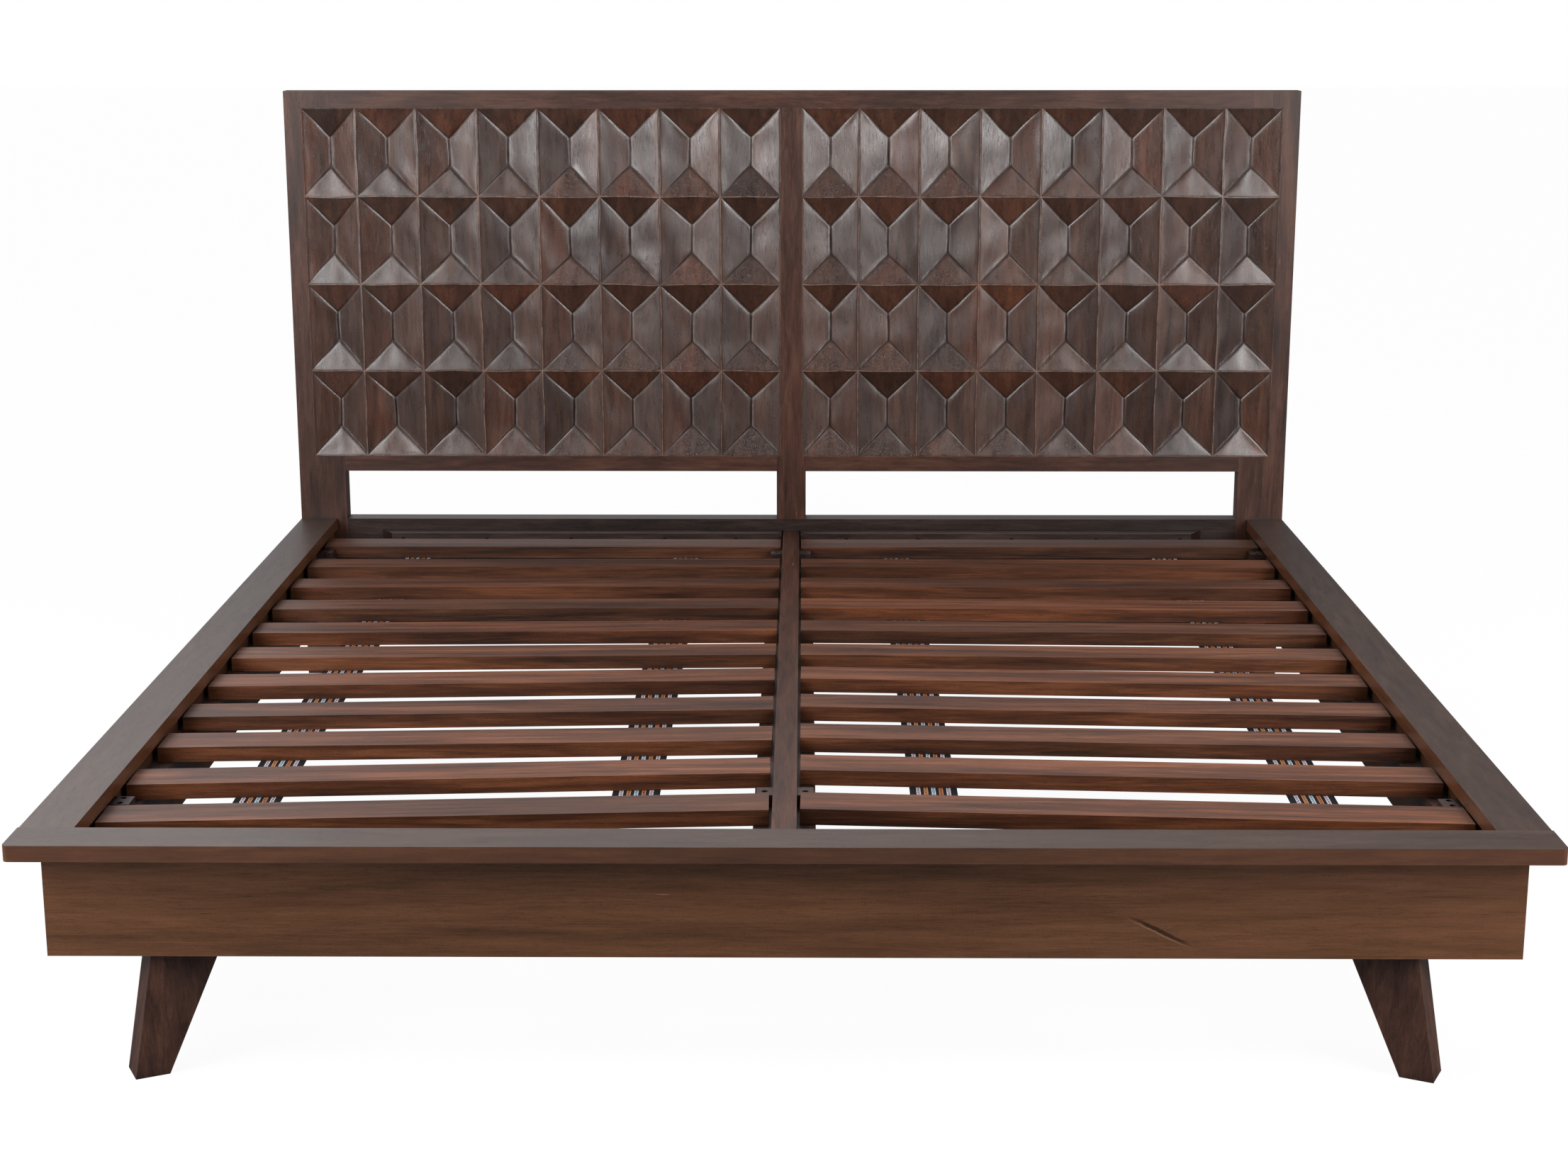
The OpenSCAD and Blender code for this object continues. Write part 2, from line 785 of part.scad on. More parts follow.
// A front leg on the right-hand side: a tapered, splayed block turned about the vertical.
module front_leg() {
    far = 400;
    difference() {
        translate([leg_corner[0], leg_corner[1], 0]) rotate([0, 0, 180 - leg_turn])
            mirror([0, 1, 0]) intersection() {
                translate([0, far / 2, 0]) rotate([90, 0, 0]) linear_extrude(far)
                    polygon([[0, 0], [leg_foot_w, 0],
                             [leg_lean_out + leg_top_w, leg_h], [leg_lean_out, leg_h]]);
                translate([-far / 2, 0, 0]) rotate([90, 0, 90]) linear_extrude(far)
                    polygon([[0, 0], [leg_d, 0],
                             [leg_d + leg_lean_front, leg_h], [leg_lean_front, leg_h]]);
            }
        leg_bolt_place() translate([0, 0, -leg_bolt_down])
            cylinder(d = leg_bore_d, h = leg_bolt_down + eps);
    }
}

module front_left_leg() {
    color(frame_color) on_side(-1) front_leg();
}

module front_right_leg() {
    color(frame_color) front_leg();
}

module support_legs() {
    color(ledger_color) for (y = support_y) difference() {
        h = centre_rail_bottom_z(y + support_w / 2) - fit;
        translate([-support_w / 2, y - support_w / 2, 0]) cube([support_w, support_w, h]);
        translate([0, y, h - leg_bolt_down]) cylinder(d = leg_bore_d, h = leg_bolt_down + eps);
    }
}

module leg_bolts() {
    color(steel_color) {
        both_sides() leg_bolt_place() translate([0, 0, -leg_bolt_down + fit])
            cylinder(d = leg_bolt_d, h = leg_bolt_down + leg_bolt_up - fit);
        for (y = support_y) translate([0, y, centre_rail_bottom_z(y + support_w / 2) - leg_bolt_down])
            cylinder(d = leg_bolt_d, h = leg_bolt_down + leg_bolt_up - 1);
    }
}

// Bolt places of the right-hand angle bracket: into the side rail, the post and the lower rail.
module side_bolt_places() {
    for (z = bracket_bolt_z)
        translate([rail_in_x - bracket_t, head_y - bracket_bolt_y, z]) rotate([0, -90, 0]) children();
}

module post_bolt_places() {
    for (z = bracket_bolt_z)
        translate([rail_in_x - post_bolt_x, head_y - bracket_t, z]) rotate([90, 0, 0]) children();
}

module rail_bolt_places() {
    for (z = bracket_bolt_z)
        translate([rail_in_x - rail_bolt_x, head_y - bracket_t, z]) rotate([90, 0, 0]) children();
}

module angle_bracket() {
    difference() {
        union() {
            box([rail_in_x - bracket_t, head_y - bracket_w, bracket_z[0]],
                [rail_in_x, head_y, bracket_z[1]]);
            box([rail_in_x - bracket_w, head_y - bracket_t, bracket_z[0]],
                [rail_in_x, head_y, bracket_z[1]]);
        }
        side_bolt_places() bolt_space();
        post_bolt_places() bolt_space();
        rail_bolt_places() bolt_space();
    }
}

// Bolt places of a hanger for the centre rail, on a face at y with its outward turn.
module centre_hanger_bolt_places(y, turn) {
    for (s = [-1, 1])
        translate([s * hanger_bolt_x, y + (turn > 0 ? -hanger_t : hanger_t),
                   hanger_floor_z(y) + hanger_bolt_up])
            rotate([turn, 0, 0]) children();
}

// Height of the rail's underside over a hanger that starts at y, less a small gap.
function hanger_floor_z(y) =
    centre_rail_bottom_z(y > 0 ? y : y + hanger_l + hanger_extra) - hanger_slack;

module centre_hanger(y, out) {
    z0 = hanger_floor_z(y);
    half = centre_rail_t / 2 + 0.5;
    end = y + out * (out < 0 ? hanger_l : hanger_l + hanger_extra);
    low = min(y, end);
    high = max(y, end);
    plate_low = out < 0 ? y - hanger_t : y;
    difference() {
        union() {
            box([-half - hanger_t, low, z0 - hanger_t], [half + hanger_t, high, z0]);
            for (s = [-1, 1])
                translate([s < 0 ? -half - hanger_t : half, low, z0 - hanger_t])
                    cube([hanger_t, high - low, hanger_side]);
            difference() {
                box([-hanger_flange, plate_low, z0 - hanger_t],
                    [hanger_flange, plate_low + hanger_t, z0 + hanger_side]);
                box([-half, y - 2 * hanger_t, z0], [half, y + 2 * hanger_t, z0 + hanger_side + eps]);
            }
        }
        centre_hanger_bolt_places(y, out < 0 ? 90 : -90) bolt_space();
    }
}

module steel_brackets() {
    color(steel_color) {
        both_sides() angle_bracket();
        centre_hanger(head_y, -1);
        centre_hanger(foot_rail_in_y, 1);
    }
}

module bracket_bolts() {
    color(steel_color) {
        both_sides() {
            side_bolt_places() bolt(bolt_l);
            post_bolt_places() bolt(bolt_l);
            rail_bolt_places() bolt(bolt_l);
        }
        centre_hanger_bolt_places(head_y, 90) bolt(bolt_l);
        centre_hanger_bolt_places(foot_rail_in_y, -90) bolt(bolt_l);
    }
}

// ---------- nodes ----------

headboard_left_post();
headboard_right_post();
headboard_centre_post();
headboard_top_rail();
headboard_panel_rail_left();
headboard_panel_rail_right();
headboard_lower_rail();
carved_panel_left();
carved_panel_right();
panel_screws();
head_cleat_left();
head_cleat_right();
left_side_rail();
right_side_rail();
foot_rail();
left_side_cap();
right_side_cap();
foot_cap();
centre_rail();
left_ledger();
right_ledger();
centre_ledger_left();
centre_ledger_right();
stop_blocks();
wood_screws();
foot_corner_blocks();
leg_mounting_blocks();
front_left_leg();
front_right_leg();
support_legs();
leg_bolts();
steel_brackets();
bracket_bolts();
left_tapes();
right_tapes();
left_staples();
right_staples();
for (k = [1:slat_count]) {
    slat(-1, k);
    slat(1, k);
}
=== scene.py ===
"""A king size platform bed with a hand-carved headboard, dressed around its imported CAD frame."""

import math

import bmesh
import bpy
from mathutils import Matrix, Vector, noise


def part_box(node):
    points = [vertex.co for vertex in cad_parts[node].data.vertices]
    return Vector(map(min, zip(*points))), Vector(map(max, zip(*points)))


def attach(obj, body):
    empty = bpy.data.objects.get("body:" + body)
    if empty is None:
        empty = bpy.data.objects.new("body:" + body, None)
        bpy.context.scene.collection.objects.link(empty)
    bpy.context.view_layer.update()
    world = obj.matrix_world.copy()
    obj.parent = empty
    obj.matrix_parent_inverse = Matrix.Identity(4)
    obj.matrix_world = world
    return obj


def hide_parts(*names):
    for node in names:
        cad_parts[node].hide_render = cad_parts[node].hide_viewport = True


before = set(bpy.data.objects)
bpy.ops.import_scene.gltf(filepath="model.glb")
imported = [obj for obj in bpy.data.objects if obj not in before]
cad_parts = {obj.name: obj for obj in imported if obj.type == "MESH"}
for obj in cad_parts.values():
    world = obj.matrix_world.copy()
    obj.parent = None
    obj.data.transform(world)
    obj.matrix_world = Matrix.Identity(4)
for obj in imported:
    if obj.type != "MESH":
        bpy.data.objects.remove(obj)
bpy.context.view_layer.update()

MM = 0.001
SIDES = {"left": -1, "right": 1}
SLATS = 11


# ---------- camera, light and floor ----------

SENSOR_WIDTH = 36
LENS = 59.25
CAMERA_PLACE = (0.0267, -4.3821, 1.4924)
CAMERA_DEGREES = (76.5315, 0.0228, 0.4409)

SOFTBOX_PLACE = (2.2, -1.75, 1.9)
SOFTBOX_TARGET = (0, 1.0, 0.75)
SOFTBOX_WIDTH = 1.1
SOFTBOX_HEIGHT = 2.2
SOFTBOX_POWER = 78

WHITE = (1, 1, 1, 1)
# the room is dark, apart from a bright patch in this direction
BRIGHT_WAY = (-0.30, 0.42, 0.86)
ROOM_DARK = (0.06, 0.06, 0.063, 1)
ROOM_BRIGHT = (1.9, 1.9, 1.93, 1)
PATCH_START = 0.80
PATCH_FULL = 0.95

FLOOR_HALF = 30
FLOOR_GREY = 0.5
FLOOR_GREY_IN_REFLECTIONS = 0.1
FLOOR_GLOW = 1.05
FLOOR_GLOW_SHARE = 0.9


def add_camera():
    data = bpy.data.cameras.new("camera")
    data.sensor_width = SENSOR_WIDTH
    data.lens = LENS
    camera = bpy.data.objects.new("camera", data)
    camera.location = CAMERA_PLACE
    camera.rotation_euler = [math.radians(a) for a in CAMERA_DEGREES]
    bpy.context.collection.objects.link(camera)
    bpy.context.scene.camera = camera


def add_softbox(sign):
    """A large lamp to one side of the bed, aimed at the middle of the slats."""
    data = bpy.data.lights.new("softbox", "AREA")
    data.shape = "RECTANGLE"
    data.size = SOFTBOX_WIDTH
    data.size_y = SOFTBOX_HEIGHT
    data.energy = SOFTBOX_POWER
    lamp = bpy.data.objects.new("softbox", data)
    x, y, z = SOFTBOX_PLACE
    place = Vector((sign * x, y, z))
    lamp.location = place
    lamp.rotation_mode = "QUATERNION"
    lamp.rotation_quaternion = (Vector(SOFTBOX_TARGET) - place).to_track_quat("-Z", "Y")
    lamp.visible_camera = False
    bpy.context.collection.objects.link(lamp)


def add_world():
    """White to the camera, and a dark room with one soft bright patch to everything else."""
    world = bpy.data.worlds.new("studio")
    world.use_nodes = True
    bpy.context.scene.world = world
    net = world.node_tree
    net.nodes.clear()
    out = net.nodes.new("ShaderNodeOutputWorld")
    mix = net.nodes.new("ShaderNodeMixShader")
    path = net.nodes.new("ShaderNodeLightPath")
    seen = net.nodes.new("ShaderNodeBackground")
    seen.inputs["Color"].default_value = WHITE
    room = net.nodes.new("ShaderNodeBackground")
    ramp = net.nodes.new("ShaderNodeValToRGB")
    ramp.color_ramp.interpolation = "EASE"
    stops = ramp.color_ramp.elements
    stops[0].position, stops[0].color = PATCH_START, ROOM_DARK
    stops[1].position, stops[1].color = PATCH_FULL, ROOM_BRIGHT
    where = net.nodes.new("ShaderNodeTexCoord")
    towards = net.nodes.new("ShaderNodeVectorMath")
    towards.operation = "DOT_PRODUCT"
    towards.inputs[1].default_value = Vector(BRIGHT_WAY).normalized()
    level = net.nodes.new("ShaderNodeMapRange")
    level.inputs["From Min"].default_value = -1
    net.links.new(where.outputs["Generated"], towards.inputs[0])
    net.links.new(towards.outputs["Value"], level.inputs["Value"])
    net.links.new(level.outputs[0], ramp.inputs[0])
    net.links.new(ramp.outputs[0], room.inputs["Color"])
    net.links.new(path.outputs["Is Camera Ray"], mix.inputs[0])
    net.links.new(room.outputs[0], mix.inputs[1])
    net.links.new(seen.outputs[0], mix.inputs[2])
    net.links.new(mix.outputs[0], out.inputs[0])


def add_floor():
    """A pale floor that reads as white to the camera, but lights the bed's underside little."""
    mesh = bpy.data.meshes.new("floor")
    r = FLOOR_HALF
    mesh.from_pydata([(-r, -r, 0), (r, -r, 0), (r, r, 0), (-r, r, 0)], [], [(0, 1, 2, 3)])
    floor = bpy.data.objects.new("floor", mesh)
    bpy.context.collection.objects.link(floor)
    mat = bpy.data.materials.new("pale_floor")
    mat.use_nodes = True
    net = mat.node_tree
    bsdf = net.nodes["Principled BSDF"]
    bsdf.inputs["Roughness"].default_value = 0.9
    glow = net.nodes.new("ShaderNodeEmission")
    glow.inputs["Color"].default_value = WHITE
    glow.inputs["Strength"].default_value = FLOOR_GLOW
    mix = net.nodes.new("ShaderNodeMixShader")
    path = net.nodes.new("ShaderNodeLightPath")
    tint = net.nodes.new("ShaderNodeMapRange")
    tint.inputs["To Min"].default_value = FLOOR_GREY
    tint.inputs["To Max"].default_value = FLOOR_GREY_IN_REFLECTIONS
    net.links.new(path.outputs["Is Glossy Ray"], tint.inputs["Value"])
    net.links.new(tint.outputs[0], bsdf.inputs["Base Color"])
    share = net.nodes.new("ShaderNodeMath")
    share.operation = "MULTIPLY"
    share.inputs[1].default_value = FLOOR_GLOW_SHARE
    net.links.new(path.outputs["Is Camera Ray"], share.inputs[0])
    net.links.new(share.outputs[0], mix.inputs[0])
    net.links.new(bsdf.outputs[0], mix.inputs[1])
    net.links.new(glow.outputs[0], mix.inputs[2])
    net.links.new(mix.outputs[0], net.nodes["Material Output"].inputs[0])
    mesh.materials.append(mat)


# ---------- materials ----------


def linear(code):
    """A linear colour from its usual hex code."""
    parts = [int(code[i : i + 2], 16) / 255 for i in (0, 2, 4)]
    return [c / 12.92 if c <= 0.04045 else ((c + 0.055) / 1.055) ** 2.4 for c in parts]


def tinted(code, gain, warm=0.0):
    """The colour made brighter by gain and redder by warm."""
    r, g, b = linear(code)
    return (r * gain * (1 + warm), g * gain, b * gain * (1 - warm), 1)


class Net:
    """The nodes of one new material."""

    def __init__(self, name):
        self.mat = bpy.data.materials.new(name)
        self.mat.use_nodes = True
        self.tree = self.mat.node_tree
        self.bsdf = self.tree.nodes["Principled BSDF"]

    def add(self, kind, inputs=None, **settings):
        node = self.tree.nodes.new("ShaderNode" + kind)
        for key, value in settings.items():
            setattr(node, key, value)
        for key, value in (inputs or {}).items():
            self.put(node.inputs[key], value)
        return node

    def put(self, socket, value):
        if isinstance(value, bpy.types.NodeSocket):
            self.tree.links.new(value, socket)
        else:
            socket.default_value = value

    def math(self, operation, a, b=0.0):
        return self.add("Math", {0: a, 1: b}, operation=operation).outputs[0]

    def ramp(self, fac, stops, interpolation="LINEAR"):
        node = self.add("ValToRGB", {0: fac})
        node.color_ramp.interpolation = interpolation
        elements = node.color_ramp.elements
        for i, (position, colour) in enumerate(stops):
            if i < 2:
                element = elements[i]
                element.position = position
            else:
                element = elements.new(position)
            element.color = colour if len(colour) == 4 else (*colour, 1)
        return node.outputs[0]

    def span(self, value, low, high, to_low=0.0, to_high=1.0):
        node = self.add("MapRange", {0: value, 1: low, 2: high, 3: to_low, 4: to_high})
        return node.outputs[0]

    def mix(self, fac, a, b, blend="MIX"):
        """Mixes two colours, which are the Mix node's sockets 6 and 7 and its output 2."""
        node = self.add("Mix", data_type="RGBA", blend_type=blend)
        self.put(node.inputs[0], fac)
        self.put(node.inputs[6], a)
        self.put(node.inputs[7], b)
        return node.outputs[2]

    def noise(self, vector, scale, detail=3.0, rough=0.5, distort=0.0):
        inputs = {
            "Vector": vector,
            "Scale": scale,
            "Detail": detail,
            "Roughness": rough,
            "Distortion": distort,
        }
        return self.add("TexNoise", inputs).outputs[0]


AXES = {"X": 0, "Y": 1, "Z": 2}

SCUFF_COLOUR = "B08E7A"
WORN_COLOUR = "A57C62"
KNOT_COLOUR = "1E100A"
KNOT_LINE_COLOUR = "8A664C"
CREST_COLOUR = "A98A7A"
CREASE_GLAZE_AND_SHADE_COLOUR = "0E0908"
GLINT_COLOUR = "A09A97"
ZINC_DARK = (0.32, 0.32, 0.33)
ZINC_PALE = (0.55, 0.55, 0.56)

# how strongly the wood's patterns are drawn out along the grain
FINE_DRAW = 0.035
# sizes of the wood's patterns, from the broadest to the finest
FIGURE_SCALE = 20
STREAK_SCALE = 85
FIBRE_SCALE = 420
SPECK_SCALE = 700
PORE_SCALE = 1500
# what each gives to the wood's colour
FIGURE_SHARE = 0.46
STREAK_SHARE = 0.34
FIBRE_SHARE = 0.20


def stretched(net, coords, axis, along, seed):
    """The coordinates shrunk along the grain, so that a pattern is drawn out that way."""
    scale = [1.0, 1.0, 1.0]
    scale[AXES[axis]] = along
    shift = (seed * 1.37 % 7, seed * 2.11 % 5, seed * 0.73 % 9)
    return net.add("Mapping", {"Vector": coords, "Location": shift, "Scale": scale}).outputs[0]


def grain_mark(net, coords, base, centre, tilt, length, width):
    """A dark knot streak in a face that looks along Y, with a pale line under it."""
    for drop, size, code in ((0, 1.0, KNOT_COLOUR), (-1.1 * width, 0.4, KNOT_LINE_COLOUR)):
        local = net.add("VectorMath", {0: coords, 1: centre}, operation="SUBTRACT").outputs[0]
        turned = net.add("VectorRotate", {"Vector": local, "Angle": tilt}, rotation_type="Y_AXIS")
        parts = net.add("SeparateXYZ", {0: turned.outputs[0]})
        wobble = net.math("MULTIPLY", net.noise(coords, 40, 3, 0.6), width * 1.5)
        across = net.math("ADD", parts.outputs["Z"], wobble)
        across = net.math("SUBTRACT", across, width * 0.75 + drop)
        across = net.math("DIVIDE", across, width * size)
        across = net.math("MULTIPLY", across, across)
        along = net.math("DIVIDE", parts.outputs["X"], length)
        along = net.math("MULTIPLY", along, along)
        reach = net.math("ADD", across, along)
        inside = net.span(reach, 1.0, 0.25, 0.0, 0.75)
        base = net.mix(inside, base, tinted(code, 1.0))
    return base


def wood(name, axis, dark, mid, light, seed=0.0, gain=1.0, warm=0.0, worn=0.0, tone=None,
         rough=(0.34, 0.5), level=0.5, contrast=1.0, corner=0.6, top=None, grit=1.0, draw=0.13,
         nook_size=0.022, scuffs=0.79, mark=None):
    """The nodes of a stained, satin-lacquered wood with its grain along one axis."""
    net = Net(name)
    coords = net.add("TexCoord").outputs["Object"]
    broad = stretched(net, coords, axis, draw, seed)
    fine = stretched(net, coords, axis, FINE_DRAW, seed)
    figure = net.noise(broad, FIGURE_SCALE, 4, 0.55, 0.9)
    streak = net.noise(broad, STREAK_SCALE, 5, 0.65, 0.5)
    fibre = net.noise(fine, FIBRE_SCALE, 3, 0.6)
    pore = net.noise(fine, PORE_SCALE, 2, 0.5)
    speck = net.noise(coords, SPECK_SCALE, 2, 0.6)
    mixed = net.math("MULTIPLY", figure, FIGURE_SHARE)
    mixed = net.math("ADD", mixed, net.math("MULTIPLY", streak, STREAK_SHARE))
    mixed = net.math("ADD", mixed, net.math("MULTIPLY", fibre, FIBRE_SHARE))
    colours = [tinted(c, gain, warm) for c in (dark, mid, light)]
    half = 0.11 / contrast
    base = net.ramp(mixed, [(0.5 - half, colours[0]), (0.5, colours[1]), (0.5 + half, colours[2])])
    # painted light and shade: faces that look up are multiplied by top, darkening the cap tops
    # beneath their sheen and lightening the slat tops, for how the light falls on them
    if top:
        top_light_and_shade_mask = net.add("SeparateXYZ", {0: net.add("NewGeometry").outputs["Normal"]}).outputs["Z"]
        base = net.mix(net.span(top_light_and_shade_mask, 0.7, 0.95), base, top, "MULTIPLY")
    if tone:
        fac = net.add("Attribute", attribute_name=tone).outputs["Fac"]
        shades = [(0.0, (0.62, 0.62, 0.64)), (0.5, (1, 1, 1)), (1.0, (1.45, 1.18, 1.02))]
        shade = net.ramp(fac, shades)
        base = net.mix(1.0, base, shade, "MULTIPLY")
    pores = net.span(pore, 0.60, 0.72)
    base = net.mix(net.math("MULTIPLY", pores, 0.5), base, tinted(dark, gain * 0.35))
    dust = net.span(speck, 0.35, 0.75, 1 - 0.16 * grit, 1 + 0.18 * grit)
    dust = net.add("CombineColor", {0: dust, 1: dust, 2: dust}).outputs[0]
    base = net.mix(1.0, base, dust, "MULTIPLY")
    scuff = net.span(net.noise(broad, 150, 2, 0.5), scuffs, scuffs + 0.04)
    base = net.mix(net.math("MULTIPLY", scuff, 0.55), base, tinted(SCUFF_COLOUR, 1.0))
    if worn:
        rub = net.noise(broad, 90, 3, 0.6)
        rubbed = net.span(rub, 0.42, 0.62, 0.15 * worn, worn)
        base = net.mix(rubbed, base, tinted(WORN_COLOUR, 1.0))
    if mark:
        base = grain_mark(net, coords, base, *mark)
    # painted shade: the base darkens in corners and nooks, where ambient occlusion finds them, by up
    # to the corner share
    if corner:
        nook = net.add("AmbientOcclusion", {"Distance": nook_size}, samples=6).outputs["AO"]
        painted_nook_shade = net.span(nook, 0.25, 0.8, 1 - corner, 1.0)
        painted_nook_shade = net.add("CombineColor", {0: painted_nook_shade, 1: painted_nook_shade, 2: painted_nook_shade}).outputs[0]
        base = net.mix(1.0, base, painted_nook_shade, "MULTIPLY")
    gloss = net.math("ADD", net.math("MULTIPLY", streak, 0.5), net.math("MULTIPLY", speck, 0.5))
    gloss = net.span(gloss, 0.35, 0.65, rough[0], rough[1])
    height = net.math("SUBTRACT", net.math("MULTIPLY", fibre, 0.6), net.math("MULTIPLY", pores, 0.7))
    height = net.math("ADD", height, net.math("MULTIPLY", speck, 0.35))
    bump = net.add("Bump", {"Strength": 0.3, "Distance": 0.0005, "Height": height}).outputs[0]
    net.put(net.bsdf.inputs["Base Color"], base)
    net.put(net.bsdf.inputs["Roughness"], gloss)
    net.put(net.bsdf.inputs["Normal"], bump)
    net.bsdf.inputs["Specular IOR Level"].default_value = level
    return net


ARRIS = 1.2 * MM
BROAD_ARRIS = 1.5 * MM
LEG_ARRIS = 2 * MM


def paint(node, mats):
    """Gives a CAD node its materials, and returns its object."""
    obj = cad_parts[node]
    obj.data.materials.clear()
    for mat in mats:
        obj.data.materials.append(mat)
    return obj


def dress(node, mats, width):
    """Paints a CAD node, and softens its arrises with the last material."""
    obj = paint(node, mats)
    merge = obj.modifiers.new("merge_flats", "DECIMATE")
    merge.decimate_type = "DISSOLVE"
    merge.angle_limit = math.radians(0.4)
    bevel = obj.modifiers.new("soft_arris", "BEVEL")
    bevel.width = width
    bevel.segments = 2
    bevel.limit_method = "ANGLE"
    bevel.angle_limit = math.radians(32)
    bevel.use_clamp_overlap = False
    bevel.harden_normals = True
    bevel.material = len(mats) - 1


# the dark, the middle and the light tone of each family of boards
TONES = {
    "frame": ("2E1D17", "46291F", "5C3B2C"),
    "apron": ("4B301D", "6A442B", "7F5438"),
    "side": ("2D1B13", "452A1B", "583824"),
    "cap": ("472A1C", "5B3620", "6F452B"),
    "leg": ("2F1A14", "462A20", "5C3A2A"),
    "slat": ("2E1A13", "512E1B", "74452B"),
    "rail": ("2F1B15", "462A1D", "5C3928"),
    "cleat": ("241813", "32211B", "43302A"),
    "ledger": ("221510", "30201A", "40281F"),
    "panel": ("2B1A14", "442A1F", "5F3D2C"),
}
# how each family's wood differs from the plain one; corner paints shade into nooks, such as the
# shadow line under the caps on the apron, and top paints light and shade onto faces that look up
FINISH = {
    "apron": {
        "level": 0.3, "contrast": 0.6, "grit": 0.7, "draw": 0.07, "corner": 0.8,
        "nook_size": 0.03,
    },
    "side": {"level": 0.3, "contrast": 0.8, "draw": 0.07},
    "leg": {"level": 0.4},
    "cap": {"rough": (0.28, 0.35), "level": 0.8, "top": (0.40, 0.58, 0.95, 1), "contrast": 0.7},
    "panel": {
        "rough": (0.25, 0.38), "level": 0.9, "grit": 2.2, "contrast": 0.7, "corner": 0.72,
        "nook_size": 0.04,
    },
    "slat": {"rough": (0.36, 0.52), "level": 0.35, "top": (1.12, 1.2, 1.38, 1), "draw": 0.055},
    "rail": {"level": 0.35, "draw": 0.08, "scuffs": 0.74},
}


def board(node, family, axis, seed, width=ARRIS, worn=0.6, gain=1.0, warm=0.0, mark=None):
    """Makes a CAD node a board of this family's wood, paler and worn along its arrises."""
    tones = TONES[family]
    more = {**FINISH.get(family, {}), "mark": mark}
    plain = wood(node + "_wood", axis, *tones, seed, gain, warm, **more)
    edge = wood(node + "_arris", axis, *tones, seed, gain * 1.2, warm, worn=worn, **more)
    dress(node, [plain.mat, edge.mat], width)


def steel(name, gain=1.0, rough=0.28):
    """Zinc plate, or a darker, rougher copy of it with a lower gain."""
    net = Net(name)
    coords = net.add("TexCoord").outputs["Object"]
    grit = net.noise(coords, 320, 3, 0.6)
    shades = [[c * gain for c in colour] for colour in (ZINC_DARK, ZINC_PALE)]
    net.put(net.bsdf.inputs["Base Color"], net.ramp(grit, [(0.35, shades[0]), (0.65, shades[1])]))
    net.put(net.bsdf.inputs["Roughness"], net.span(grit, 0.3, 0.7, rough, rough + 0.22))
    bump = net.add("Bump", {"Strength": 0.2, "Distance": 0.0003, "Height": grit})
    net.put(net.bsdf.inputs["Normal"], bump.outputs[0])
    net.bsdf.inputs["Metallic"].default_value = 1.0
    return net.mat


# ---------- the carved panels ----------

CELL_COLUMNS = 8
CELL_ROWS = 4
# widths of each panel's innermost and outermost columns, where 0 means an even column
EDGE_COLUMNS = {"left": (0, 112 * MM), "right": (119 * MM, 119 * MM)}
CELL_DEPTH = 20 * MM
HIP_RISE = 62 * MM
HIP_STEPS = (0.05, 0.13, 0.23, 0.34, 0.46, 0.58, 0.70, 0.81, 0.91)
VALLEY_STEPS = 9
SLOPE_STEPS = (
    0, 0.01, 0.025, 0.045, 0.1, 0.2, 0.34, 0.5, 0.66, 0.8, 0.89, 0.935, 0.958, 0.98, 0.992, 1,
)
# how much nearer a point on a hip's slope is to the hip than the run left to it
HIP_SLANT = 0.71

# kept back from the depth, so that a deep cell stays inside the CAD's cut
SPARE_DEPTH = 1.2 * MM
DEPTH_SPREAD = 1.5 * MM
# a rubbed crest, a knife line in the crease, and a lip beside that line
RUB_DEPTH, RUB_WIDTH = 0.7 * MM, 1.1 * MM
KNIFE_DEPTH, KNIFE_WIDTH = 1.8 * MM, 1.6 * MM
LIP_HEIGHT, LIP_WIDTH, LIP_PLACE = 0.5 * MM, 0.85 * MM, 3.2 * MM
# the slopes aren't quite flat between these distances from the crest and the crease
BODY_FROM_CREST, BODY_FROM_CREASE = 12 * MM, 9 * MM
SWELL, CHISEL_MARK = 1.1 * MM, 0.25 * MM
# the carving fades to nothing, and stops wandering, near the panel's rim
RIM_FADE, RIM_HOLD = 8 * MM, 20 * MM
CREST_DRIFT_X, CREST_DRIFT_Z = 1.6 * MM, 1.5 * MM
VALLEY_DRIFT = 3.0 * MM
CREST_WEAR_AND_HIGHLIGHT_WIDTH = 0.75 * MM
# width and place of a painted shadow line just off the crests
CREST_SHADOW_WIDTH, CREST_SHADOW_PLACE = 1.1 * MM, 2.2 * MM
TONE_SPREAD = 0.42
GLINT_LOW, GLINT_HIGH, GLINT_FAR = 1.0, 0.3, 0.15
# how strong the painted crest shadow is on one side slope and on the top slopes
SIDE_CREST_SHADOW, TOP_CREST_SHADOW = 0.5, 0.6


def wander(a, b, c, size):
    """A smooth, repeatable wobble of about +-size."""
    return noise.noise(Vector((a, b, c))) * size * 1.6


def bell(distance, width):
    """1 at no distance, falling smoothly to 0 over a few widths."""
    return math.exp(-((distance / width) ** 2))


def column_edges(side, low, high):
    """The edges of a panel's columns of cells, from low to high."""
    inner, outer = EDGE_COLUMNS[side]
    narrow = [w for w in (inner, outer) if w]
    even = (high - low - sum(narrow)) / (CELL_COLUMNS - len(narrow))
    widths = [inner or even] + [even] * (CELL_COLUMNS - 2) + [outer or even]
    if SIDES[side] < 0:
        widths.reverse()
    return [low + sum(widths[:i]) for i in range(CELL_COLUMNS + 1)]


